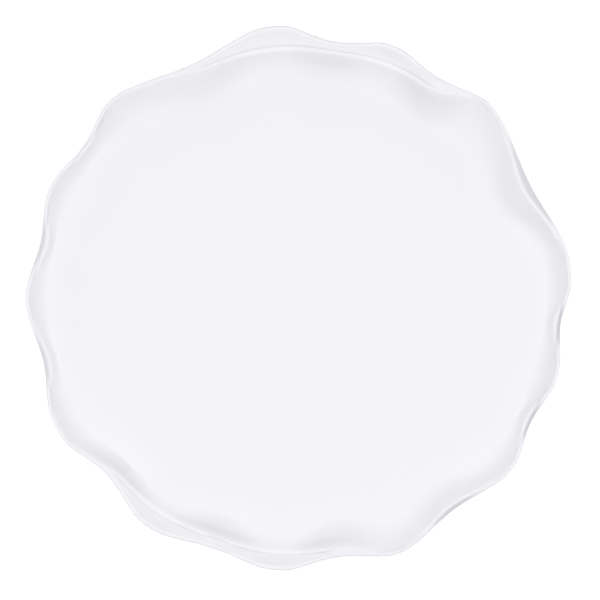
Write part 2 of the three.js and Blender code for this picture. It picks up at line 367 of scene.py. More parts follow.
@dataclass(frozen=True)
class PlateSection:
    """The section of the plate at any angle around it.

    Its middle line runs from the flat floor up the wall to the crest, and on over the flap to the lip.
    Lengths are in metres and slopes in degrees.

    Attributes:
        ruffle: The run of the rim.
        foot: The foot ring.
        foot_share: How far the wall holds the level of the floor, as a share of its run.
        pull_share: How far it holds the slope that it has at the crest, as a share of its run.
        scoop: Slope of the wall at the crest, as a multiple of its mean slope.
        scoop_fade: How much of the scoop is lost where the rim rolls over or changes into a fold.
        roll_full: Roll at which that much is lost.
        lobe_flap: From the crest out to the lip on a lobe.
        dip_flap: From the crest out to the lip in a dip with no roll.
        roll_drop: How far the lip drops below the crest, as a multiple of the roll.
        roll_turned: Roll at which the rim has turned over fully.
        roll_leave: How much that turns down the slope beyond the crest.
        roll_lean: How much it turns down the slope at the lip.
        ridge_inset: How far the ridge of a fold stands in from the reach of a usual lobe.
        ridge_sway: How much further out the ridge runs on a lobe.
        ridge_shift: How far the whole ridge is shifted toward -Y.
        ridge_height: Top of the ridge on a folded lobe, before the tilt.
        ridge_tilt: How much higher the ridge is at +Y, and lower at -Y.
        flap_lobe_slope: Slope of a fold's flap at the lip on a lobe.
        flap_dip_slope: Slope of a fold's flap at the lip in a dip.
        flap_climb: How far the lip of a folded dip stands above its ridge.
        flap_bead: Height of the bead along a fold's flap, as a share of the roll.
        flap_bead_width: How far the bead reaches to each side.
        ridge_share: Where the crest lies, as a share of the points from the floor to the lip.
        ridge_crowding: How closely the points of the wall crowd toward the crest: 1 is evenly.
        step_drop: Depth of the step beyond the ridge of a fold.
        step_width: Width of that step.
        flap_hold: How far the flap holds its slope at each end, as a share of its length.
        settle_hold: How much of the wall's slope carries on past the crest where a fold starts.
        over_reach: How far to each side the over skin takes its slope from, as a share of the points.
        under_reach: The same for the under skin.
        floor_thickness: Thickness of the body's floor.
        lip_thickness: Thickness of the body's lip.
        glaze: Thickness of the glaze.
    """

    ruffle: Ruffle
    foot: FootSizes
    foot_share: float = 0.42
    pull_share: float = 0.33
    scoop: float = 2.1
    scoop_fade: float = 0.45
    roll_full: float = 0.004
    lobe_flap: float = 0.003
    dip_flap: float = 0.0012
    roll_drop: float = 1.1
    roll_turned: float = 0.0022
    roll_leave: float = 46.0
    roll_lean: float = 52.0
    ridge_inset: float = 0.01135
    ridge_sway: float = 0.0009
    ridge_shift: float = 0.00145
    ridge_height: float = 0.0109
    ridge_tilt: float = 0.0019
    flap_lobe_slope: float = 28.0
    flap_dip_slope: float = -10.0
    flap_climb: float = 0.0006
    flap_bead: float = 0.25
    flap_bead_width: float = 0.0019
    ridge_share: float = 4.0 / 7.0
    ridge_crowding: float = 1.2
    step_drop: float = 0.0007
    step_width: float = 0.0022
    flap_hold: float = 0.38
    settle_hold: float = 0.5
    over_reach: float = 0.018
    under_reach: float = 0.08
    floor_thickness: float = 0.0036
    lip_thickness: float = 0.0014
    glaze: float = 0.0003

    @property
    def floor_middle(self) -> float:
        """Height of the middle of the floor's thickness."""
        return self.foot.height + self.floor_thickness / 2.0

    @property
    def lip_round(self) -> float:
        """Radius of the finished lip."""
        return self.lip_thickness / 2.0 + self.glaze

    def wall_start(self, spot: RimSpot) -> Vector:
        """Return where the middle line of the wall leaves the flat floor, as radius and height."""
        return Vector((self.ruffle.reach - spot.wall, self.floor_middle))

    def lobe_climb(self, spot: RimSpot) -> float:
        """Work out how far the lip of a lobe stands above its crest, where it carries on the wall's slope.

        Args:
            spot: What the rim does there.

        Returns:
            The height of the lip above the crest.
        """
        rise = spot.lobe_height - self.lip_round - self.floor_middle
        run = spot.reach - self.lobe_flap - self.wall_start(spot).x
        pull = self.scoop * (self.lobe_flap - self.lip_round)
        return rise * pull / (run + pull)

    def crest(self, spot: RimSpot) -> Vector:
        """Find the middle of the thickness at the crest of the rim, or at the ridge where it is folded.

        Args:
            spot: What the rim does there.

        Returns:
            The point, as radius and height.
        """
        inset = mix(self.lobe_flap, self.dip_flap + spot.roll, spot.inward)
        away = math.sin(spot.angle)
        sway = self.ridge_sway * (1.0 - spot.inward)
        ridge = self.ruffle.reach - self.ridge_inset + sway - self.ridge_shift * away
        ridge_height = self.ridge_height + self.ridge_tilt * away
        lobe_height = mix(spot.lobe_height - self.lobe_climb(spot), ridge_height, spot.settle)
        height = mix(lobe_height, spot.dip_height, spot.inward)
        return Vector((mix(spot.reach - inset, ridge, spot.fold), height - self.lip_round))

    def lip_middle(self, spot: RimSpot) -> Vector:
        """Find the middle of the lip's thickness.

        Args:
            spot: What the rim does there.

        Returns:
            The point, as radius and height.
        """
        crest = self.crest(spot)
        radius = spot.reach - self.lip_round
        rolled = crest.y - self.roll_drop * spot.roll
        dip_level = mix(rolled, crest.y + self.flap_climb, spot.settle)
        return Vector((radius, mix(spot.lobe_height - self.lip_round, dip_level, spot.inward)))

    def slopes(self, spot: RimSpot) -> tuple[float, float, float]:
        """Work out how steep the middle line is.

        Args:
            spot: What the rim does there.

        Returns:
            The slopes where it comes to the crest, where it leaves it and at the lip, in radians.
        """
        wall = self.crest(spot) - self.wall_start(spot)
        # From 0 at both ends of the change into a fold to 1 halfway through it.
        fading = 4.0 * spot.settle * (1.0 - spot.settle)
        scoop = self.scoop * (1.0 - self.scoop_fade * max(fading, ease(spot.roll / self.roll_full)))
        come = math.degrees(math.atan2(scoop * wall.y, wall.x))
        standing = come * (1.0 - spot.inward)
        flap = mix(self.flap_lobe_slope, self.flap_dip_slope, spot.inward)
        rolled = ease(spot.roll / self.roll_turned)
        leave = mix(standing - self.roll_leave * rolled, 0.0, spot.fold)
        leave = mix(leave, come, max(self.settle_hold * fading, swell(spot.fold, 0.5, 0.5)))
        end = mix(standing - self.roll_lean * rolled, flap, spot.fold)
        return math.radians(come), math.radians(leave), math.radians(end)

    def wall(self, spot: RimSpot, share: float) -> Vector:
        """Find a point on the middle line from the floor to the crest.

        Args:
            spot: What the rim does there.
            share: How far up the point is, from 0 at the floor to 1 at the crest.

        Returns:
            The point, as radius and height.
        """
        start, crest = self.wall_start(spot), self.crest(spot)
        come = self.slopes(spot)[0]
        run = crest.x - start.x
        leave = start + Vector((self.foot_share * run, 0.0))
        arrive = crest - Vector((1.0, math.tan(come))) * self.pull_share * run
        return cubic(start, leave, arrive, crest, share)

    def flap(self, spot: RimSpot, share: float) -> Vector:
        """Find a point on the middle line from the crest to the lip.

        Args:
            spot: What the rim does there.
            share: How far out the point is, from 0 at the crest to 1 at the lip.

        Returns:
            The point, as radius and height.
        """
        crest, lip = self.crest(spot), self.lip_middle(spot)
        leave, end = self.slopes(spot)[1:]
        hold = (lip - crest).length * self.flap_hold
        depart = crest + Vector((math.cos(leave), math.sin(leave))) * hold
        arrive = lip - Vector((math.cos(end), math.sin(end))) * hold
        place = cubic(crest, depart, arrive, lip, share)
        step = ease((place.x - crest.x) / self.step_width) * (1.0 - share)
        bead = self.flap_bead * spot.roll * swell(place.x, lip.x - spot.roll, self.flap_bead_width)
        return place + Vector((0.0, spot.fold * bead - self.step_drop * spot.crease * step))

    def middle(self, spot: RimSpot, share: float) -> Vector:
        """Find a point on the middle line of the wall.

        Args:
            spot: What the rim does there.
            share: How far up the wall the point is, from 0 at the floor to 1 at the lip.

        Returns:
            The point, as radius and height.
        """
        if share <= self.ridge_share:
            return self.wall(spot, 1.0 - (1.0 - share / self.ridge_share) ** self.ridge_crowding)
        return self.flap(spot, (share - self.ridge_share) / (1.0 - self.ridge_share))

    def square(self, spot: RimSpot, share: float, side: Side = Side.OVER) -> Vector:
        """Find the direction square to the middle line, toward the side that food lies on.

        Args:
            spot: What the rim does there.
            share: How far up the wall, from 0 to 1.
            side: Which of the two skins it is for. The under skin turns more gently at the crest.

        Returns:
            A direction of length 1, as radius and height.
        """
        reach = self.over_reach if side is Side.OVER else self.under_reach
        before = self.middle(spot, max(share - reach, 0.0))
        after = self.middle(spot, min(share + reach, 1.0))
        run = (after - before).normalized()
        return Vector((-run.y, run.x))

    def half_thickness(self, spot: RimSpot, share: float, outside: float) -> float:
        """Work out half of the wall's thickness, which thins evenly from the well out to the lip.

        Args:
            spot: What the rim does there.
            share: How far up the wall, from 0 to 1.
            outside: Distance outside the ceramic body.

        Returns:
            Half of the thickness, with what lies outside the body.
        """
        start, lip = self.wall_start(spot).x, self.lip_middle(spot).x
        thinned = min(max((self.middle(spot, share).x - start) / (lip - start), 0.0), 1.0)
        return mix(self.floor_thickness, self.lip_thickness, thinned) / 2.0 + outside

    def skin(self, spot: RimSpot, share: float, side: Side, outside: float) -> Vector:
        """Find a point on one of the wall's two skins.

        Args:
            spot: What the rim does there.
            share: How far up the wall the point is, from 0 to 1.
            side: Which of the two skins.
            outside: Distance outside the ceramic body.

        Returns:
            The point, as radius and height.
        """
        half = self.half_thickness(spot, share, outside)
        away = self.square(spot, share, side) * (side.value * half)
        return self.middle(spot, share) + away

    def lip(self, spot: RimSpot, share: float, outside: float) -> Vector:
        """Find a point on the round of the lip, from the under skin at 0 to the over skin at 1.

        Args:
            spot: What the rim does there.
            share: How far round the lip the point is.
            outside: Distance outside the ceramic body.

        Returns:
            The point, as radius and height.
        """
        turn = math.pi * (1.0 + share)
        square = self.square(spot, 1.0)
        across = math.cos(turn) * square.x - math.sin(turn) * square.y
        up = math.sin(turn) * square.x + math.cos(turn) * square.y
        return self.middle(spot, 1.0) + Vector((across, up)) * self.half_thickness(spot, 1.0, outside)

    def floor(self, spot: RimSpot, share: float, outside: float) -> Vector:
        """Return a point on the floor of the well, from the wall at 0 to the axis at 1."""
        start = self.skin(spot, 0.0, Side.OVER, outside)
        return Vector((start.x * (1.0 - share), start.y))

    def foot_outside(self, spot: RimSpot, share: float, outside: float) -> Vector:
        """Find a point from the outer glaze line up the foot ring and along the underside to the wall.

        Args:
            spot: What the rim does there.
            share: How far along, from 0 at the glaze line to 1 at the wall.
            outside: Distance outside the ceramic body.

        Returns:
            The point, as radius and height.
        """
        foot = self.foot
        line = Vector((foot.radius + outside, foot.bare_height))
        corner = Vector((foot.radius + foot.taper + outside, foot.height - outside))
        end = self.skin(spot, 0.0, Side.UNDER, outside)
        return rounded_corner(line, corner, end, foot.fillet, share)

    def foot_inside(self, share: float, outside: float) -> Vector:
        """Find a point from the axis along the recess and down the foot ring to the inner glaze line.

        Args:
            share: How far along, from 0 on the axis to 1 at the glaze line.
            outside: Distance outside the ceramic body.

        Returns:
            The point, as radius and height.
        """
        foot = self.foot
        centre = Vector((0.0, foot.height - outside))
        corner = Vector((foot.inner_radius - foot.taper - outside, foot.height - outside))
        line = Vector((foot.inner_radius - outside, foot.bare_height))
        return rounded_corner(line, corner, centre, foot.fillet, 1.0 - share)


def usual_depth(spot: RimSpot, share: float) -> float:
    """Return how thick most of the glaze lies, at any place."""
    return USUAL_DEPTH


@dataclass(frozen=True)
class Stretch:
    """One stretch of an outline that is carried around the axis.

    Attributes:
        place: Gives the radius and height at a share of the stretch.
        cuts: How many times the stretch is cut across.
        depth: Gives the tone there, from 0, pale, to 1, dark: how thick the glaze lies, with painted
            highlights and painted shade.
    """

    place: Callable[[RimSpot, float], Vector]
    cuts: int
    depth: Callable[[RimSpot, float], float] = usual_depth


def turned(name: str, ruffle: Ruffle, stretches: list[Stretch], steps: int) -> bpy.types.Object:
    """Make a piece by carrying an outline around the axis, where it follows the ruffle.

    A plain tube is spun first, one unit high for each stretch. Each of its points then moves to the
    place that its stretch gives at its own angle.

    Args:
        name: Name of the piece.
        ruffle: The run of the rim.
        stretches: The stretches of the outline, in order.
        steps: How many steps make a full turn.

    Returns:
        The new piece, linked to the scene.
    """
    work = bmesh.new()
    glaze_and_light_layer = work.verts.layers.float.new(GLAZE_AND_LIGHT_LAYER)
    for index, stretch in enumerate(stretches):
        ends = [work.verts.new((1.0, 0.0, float(level))) for level in (index, index + 1)]
        bmesh.ops.subdivide_edges(work, edges=[work.edges.new(ends)], cuts=stretch.cuts)
    bmesh.ops.remove_doubles(work, verts=work.verts[:], dist=TUBE_SLACK)
    bmesh.ops.spin(
        work,
        geom=work.verts[:] + work.edges[:],
        cent=(0.0, 0.0, 0.0),
        axis=(0.0, 0.0, 1.0),
        angle=math.tau,
        steps=steps,
        use_merge=True,
    )
    spots = [ruffle.spot(math.tau * step / steps) for step in range(steps)]
    for vertex in work.verts:
        angle = math.atan2(vertex.co.y, vertex.co.x)
        spot = spots[round(angle / math.tau * steps) % steps]
        index = min(int(vertex.co.z + TUBE_SLACK), len(stretches) - 1)
        share = min(max(vertex.co.z - index, 0.0), 1.0)
        place = stretches[index].place(spot, share)
        vertex[glaze_and_light_layer] = stretches[index].depth(spot, share)
        vertex.co = (place.x * math.cos(angle), place.x * math.sin(angle), place.y)
    bmesh.ops.remove_doubles(work, verts=work.verts[:], dist=PLATE_SLACK)
    bmesh.ops.recalc_face_normals(work, faces=work.faces[:])
    for face in work.faces:
        face.smooth = True
    mesh = bpy.data.meshes.new(name)
    work.to_mesh(mesh)
    work.free()
    piece = bpy.data.objects.new(name, mesh)
    bpy.context.scene.collection.objects.link(piece)
    return piece


class NodeBoard:
    """A shader node tree with short calls for placing and joining its nodes."""

    def __init__(self, tree: bpy.types.NodeTree) -> None:
        """Keep the tree and clear it."""
        self.tree = tree
        self.tree.nodes.clear()

    def add(self, kind: str, **settings: object) -> bpy.types.Node:
        """Place a node.

        Args:
            kind: Blender's name for the kind of node.
            **settings: Properties of the node, or values for its inputs by their names with
                underscores for spaces.

        Returns:
            The new node.
        """
        node = self.tree.nodes.new(kind)
        for key, value in settings.items():
            if hasattr(node, key):
                setattr(node, key, value)
            else:
                node.inputs[key.replace("_", " ")].default_value = value
        return node

    def join(self, source: bpy.types.NodeSocket, target: bpy.types.NodeSocket) -> None:
        """Join an output to an input."""
        self.tree.links.new(source, target)

    def work_out(self, operation: str, *values: bpy.types.NodeSocket | float) -> bpy.types.NodeSocket:
        """Place a Math node.

        Args:
            operation: Blender's name for what the node works out.
            *values: What its inputs take, in order: an output to join or a number.

        Returns:
            The node's output.
        """
        node = self.add("ShaderNodeMath", operation=operation)
        for value, target in zip(values, node.inputs):
            if isinstance(value, bpy.types.NodeSocket):
                self.join(value, target)
            else:
                target.default_value = value
        return node.outputs["Value"]

    def blend(self, *sources: bpy.types.NodeSocket) -> bpy.types.NodeSocket:
        """Place a Mix Shader node.

        Args:
            *sources: The output that gives the share of the second shader, and those of the two shaders.

        Returns:
            The node's output.
        """
        node = self.add("ShaderNodeMixShader")
        for source, target in zip(sources, node.inputs):
            self.join(source, target)
        return node.outputs["Shader"]


def start_material(name: str, ior: float) -> tuple[bpy.types.Material, NodeBoard, bpy.types.Node]:
    """Start a material that has one Principled shader.

    Args:
        name: Name of the material.
        ior: Index of refraction of the surface.

    Returns:
        The new material, the board of its node tree and its shader.
    """
    made = bpy.data.materials.new(name)
    made.use_nodes = True
    board = NodeBoard(made.node_tree)
    output = board.add("ShaderNodeOutputMaterial")
    shader = board.add("ShaderNodeBsdfPrincipled", IOR=ior)
    board.join(shader.outputs["BSDF"], output.inputs["Surface"])
    return made, board, shader


@dataclass(frozen=True)
class Noise:
    """A cloudy pattern.

    Attributes:
        scale: Clouds in a metre.
        detail: How many finer layers are laid over them.
        roughness: How strong the finer layers are.
    """

    scale: float
    detail: float
    roughness: float

    def add_to(self, board: NodeBoard, place: bpy.types.NodeSocket) -> bpy.types.NodeSocket:
        """Place the pattern in a node tree.

        Args:
            board: The board of the node tree.
            place: The output that gives the coordinates.

        Returns:
            The output that gives the pattern.
        """
        noise = board.add("ShaderNodeTexNoise", Scale=self.scale, Detail=self.detail)
        noise.inputs["Roughness"].default_value = self.roughness
        board.join(place, noise.inputs["Vector"])
        return noise.outputs["Fac"]


@dataclass(frozen=True)
class Relief:
    """Relief that is too fine to model.

    Attributes:
        strength: How strong it is, from 0 to 1.
        height: How high it stands, in metres.
    """

    strength: float
    height: float

    def add_to(self, board: NodeBoard, pattern: bpy.types.NodeSocket, shader: bpy.types.Node) -> None:
        """Give a shader the relief of a pattern.

        Args:
            board: The board of the node tree.
            pattern: The output that gives the pattern.
            shader: The shader.
        """
        bump = board.add("ShaderNodeBump", Strength=self.strength, Distance=self.height)
        board.join(pattern, bump.inputs["Height"])
        board.join(bump.outputs["Normal"], shader.inputs["Normal"])


@dataclass(frozen=True)
class GlazeFlow:
    """The unevenness that glaze keeps from firing, shared by every glazed surface.

    Attributes:
        name: Name of the node group.
        drift: Slow change from place to place.
        peel: Fine ripples.
        film: Duller places.
        drift_height: How high the slow change stands, as a multiple of the fine ripples.
    """

    name: str = "glaze_flow"
    drift: Noise = Noise(22.0, 3.0, 0.5)
    peel: Noise = Noise(420.0, 1.0, 0.4)
    film: Noise = Noise(95.0, 5.0, 0.62)
    drift_height: float = 2.5

    def group(self) -> bpy.types.NodeTree:
        """Build the node group, or find it if it is there already.

        Returns:
            The group. Its input is Ripple, the strength of the ripples. Its outputs are Drift, a slow
            change of colour, Peel, the height of the ripples, and Film, a mask for duller places.
        """
        found = bpy.data.node_groups.get(self.name)
        if found is not None:
            return found
        tree = bpy.data.node_groups.new(self.name, "ShaderNodeTree")
        ripple = tree.interface.new_socket("Ripple", in_out="INPUT", socket_type="NodeSocketFloat")
        ripple.default_value = 1.0
        for output in ("Drift", "Peel", "Film"):
            tree.interface.new_socket(output, in_out="OUTPUT", socket_type="NodeSocketFloat")
        board = NodeBoard(tree)
        given = board.add("NodeGroupInput")
        result = board.add("NodeGroupOutput")
        place = board.add("ShaderNodeTexCoord").outputs["Object"]
        drift = self.drift.add_to(board, place)
        peel = self.peel.add_to(board, place)
        film = self.film.add_to(board, place)
        uneven = board.work_out("MULTIPLY_ADD", drift, self.drift_height, peel)
        height = board.work_out("MULTIPLY", uneven, given.outputs["Ripple"])
        board.join(drift, result.inputs["Drift"])
        board.join(height, result.inputs["Peel"])
        board.join(film, result.inputs["Film"])
        return tree


@dataclass(frozen=True)
class GlazeFinish:
    """A glossy opaque glaze, paler where it runs thin and darker where it pools, and painted paler for
    highlights and darker for shade.

    Attributes:
        name: Name of the material.
        thin_and_highlit: Colour where the glaze runs thin, also used to paint highlights.
        usual: Colour of most of the glaze.
        pooled_and_shaded: Colour where the glaze lies thick, also used to paint shade.
        gloss: Lowest and highest roughness.
        ripple: Strength of the ripples in the glaze.
        drift: How much the colour changes slowly from place to place.
        film: Values of the mask for duller places at the lowest and the highest roughness.
        relief: Relief of the ripples.
        ior: Index of refraction.
    """

    name: str
    thin_and_highlit: Colour
    usual: Colour
    pooled_and_shaded: Colour
    gloss: tuple[float, float]
    ripple: float
    drift: float
    film: tuple[float, float] = (0.35, 0.7)
    relief: Relief = Relief(0.35, 0.00006)
    ior: float = 1.52

    def material(self) -> bpy.types.Material:
        """Build the material.

        Returns:
            The new material.
        """
        made, board, shader = start_material(self.name, self.ior)
        flow = board.add("ShaderNodeGroup", node_tree=GlazeFlow().group())
        flow.inputs["Ripple"].default_value = self.ripple
        # The attribute brings painted highlights and painted shade into the colour, with the glaze's
        # thickness.
        depth = board.add("ShaderNodeAttribute", attribute_name=GLAZE_AND_LIGHT_LAYER)
        shift = board.work_out("SUBTRACT", flow.outputs["Drift"], NOISE_MEAN)
        drifted = board.work_out("MULTIPLY_ADD", shift, self.drift, depth.outputs["Fac"])
        ramp = board.add("ShaderNodeValToRGB")
        ramp.color_ramp.elements[0].color = (*self.thin_and_highlit, 1.0)
        ramp.color_ramp.elements[1].color = (*self.pooled_and_shaded, 1.0)
        ramp.color_ramp.elements.new(USUAL_DEPTH).color = (*self.usual, 1.0)
        board.join(drifted, ramp.inputs["Fac"])
        board.join(ramp.outputs["Color"], shader.inputs["Base Color"])
        gloss = board.add("ShaderNodeMapRange", From_Min=self.film[0], From_Max=self.film[1])
        gloss.inputs["To Min"].default_value, gloss.inputs["To Max"].default_value = self.gloss
        board.join(flow.outputs["Film"], gloss.inputs["Value"])
        board.join(gloss.outputs["Result"], shader.inputs["Roughness"])
        self.relief.add_to(board, flow.outputs["Peel"], shader)
        return made


@dataclass(frozen=True)
class BareFinish:
    """Fired clay with no glaze, ground level on a wheel.

    Attributes:
        name: Name of the material.
        clay: Colour of the clay.
        speck: Colour of its darker grains.
        grain: The pattern of the grains.
        speck_ends: Values of the grains' pattern where the dark grains end and the plain clay starts.
        dull: Roughness at the lowest and the highest value of the grains' pattern.
        ring_scale: How close the grinding rings lie.
        ring_wander: How far the rings wander from true circles.
        ring_detail: How many finer layers that wandering has.
        ring_height: How high the rings stand, as a multiple of the grains.
        relief: Relief of the grains and rings.
        ior: Index of refraction.
    """

    name: str
    clay: Colour
    speck: Colour
    grain: Noise = Noise(900.0, 6.0, 0.7)
    speck_ends: tuple[float, float] = (0.33, 0.5)
    dull: tuple[float, float] = (0.72, 0.95)
    ring_scale: float = 380.0
    ring_wander: float = 1.5
    ring_detail: float = 2.0
    ring_height: float = 0.35
    relief: Relief = Relief(0.5, 0.0001)
    ior: float = 1.5

    def material(self) -> bpy.types.Material:
        """Build the material.

        Returns:
            The new material.
        """
        made, board, shader = start_material(self.name, self.ior)
        place = board.add("ShaderNodeTexCoord").outputs["Object"]
        grain = self.grain.add_to(board, place)
        rings = board.add("ShaderNodeTexWave", wave_type="RINGS", rings_direction="Z", Scale=self.ring_scale)
        rings.inputs["Distortion"].default_value = self.ring_wander
        rings.inputs["Detail"].default_value = self.ring_detail
        board.join(place, rings.inputs["Vector"])
        ramp = board.add("ShaderNodeValToRGB")
        for element, end, colour in zip(ramp.color_ramp.elements, self.speck_ends, (self.speck, self.clay)):
            element.position = end
            element.color = (*colour, 1.0)
        board.join(grain, ramp.inputs["Fac"])
        board.join(ramp.outputs["Color"], shader.inputs["Base Color"])
        dull = board.add("ShaderNodeMapRange", To_Min=self.dull[0], To_Max=self.dull[1])
        board.join(grain, dull.inputs["Value"])
        board.join(dull.outputs["Result"], shader.inputs["Roughness"])
        height = board.work_out("MULTIPLY_ADD", rings.outputs["Fac"], self.ring_height, grain)
        self.relief.add_to(board, height, shader)
        return made


@dataclass
class CeramicBody:
    """The fired clay body: floor, wall, ruffled lip and the foot ring that it stands on.

    Attributes:
        section: The section of the plate.
        finish: The finish of the bare clay.
        steps: Steps in a full turn.
        foot_cuts: Cuts across each side of the foot ring, with the underside beside it.
        face_cuts: Cuts across the bare face of the ring.
        wall_cuts: Cuts across each skin of the wall.
        lip_cuts: Cuts across the round of the lip.
        floor_cuts: Cuts across the floor of the well.
        wear_start: Where the wear of the bare face starts, as a share of the way out from its middle.
        wear_inset: How far in from the edge the wear turns, as a share of the bevel.
        wear_rise: How high it turns, as a share of the bare height.
    """

    section: PlateSection
    finish: BareFinish
    steps: int = 312
    foot_cuts: int = 9
    face_cuts: int = 19
    wall_cuts: int = 34
    lip_cuts: int = 5
    floor_cuts: int = 3
    wear_start: float = 0.4
    wear_inset: float = 0.35
    wear_rise: float = 0.2

    def bare_face(self, spot: RimSpot, share: float) -> Vector:
        """Find a point across the bare face of the foot ring, from the inner to the outer glaze line.

        Args:
            spot: What the rim does there.
            share: How far across the ring the point is.

        Returns:
            The point, as radius and height.
        """
        foot = self.section.foot
        middle = (foot.inner_radius + foot.radius) / 2.0
        edge = Vector((foot.radius, foot.bare_height))
        worn = Vector((foot.radius - foot.bevel, 0.0))
        corner = Vector((foot.radius - foot.bevel * self.wear_inset, foot.bare_height * self.wear_rise))
        out = abs(share - 0.5) * 2.0
        way = 1.0 if share > 0.5 else -1.0
        if out > self.wear_start:
            place = bend(worn, corner, edge, (out - self.wear_start) / (1.0 - self.wear_start))
        else:
            place = Vector((mix(middle, worn.x, out / self.wear_start), 0.0))
        return Vector((middle + way * (place.x - middle), place.y))

    def build(self) -> bpy.types.Object:
        """Build and dress the body.

        Returns:
            The finished piece.
        """
        section = self.section
        under, over = Side.UNDER, Side.OVER
        stretches = [
            Stretch(lambda spot, share: section.foot_inside(share, 0.0), self.foot_cuts),
            Stretch(self.bare_face, self.face_cuts),
            Stretch(lambda spot, share: section.foot_outside(spot, share, 0.0), self.foot_cuts),
            Stretch(lambda spot, share: section.skin(spot, share, under, 0.0), self.wall_cuts),
            Stretch(lambda spot, share: section.lip(spot, share, 0.0), self.lip_cuts),
            Stretch(lambda spot, share: section.skin(spot, 1.0 - share, over, 0.0), self.wall_cuts),
            Stretch(lambda spot, share: section.floor(spot, share, 0.0), self.floor_cuts),
        ]
        piece = turned("body_of_plate", section.ruffle, stretches, self.steps)
        piece.data.materials.append(self.finish.material())
        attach(piece, "root")
        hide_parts("ceramic_body")
        return piece


@dataclass(frozen=True)
class GlazeLine:
    """The edge of the glaze on the foot ring, where it starts in a small round bead.

    Attributes:
        growth: How the glaze grows to its thickness, by the share of the way from its edge.
        bead: How much thicker the bead is, as a share of the glaze.
    """

    growth: Rise = Rise(0.0, 0.08)
    bead: Hump = Hump(0.1, 0.1, 0.4)

    def thickness(self, share: float) -> float:
        """Return the thickness at a share of the way from the edge, as a multiple of the glaze's own."""
        return self.growth.at(share) + self.bead.at(share)


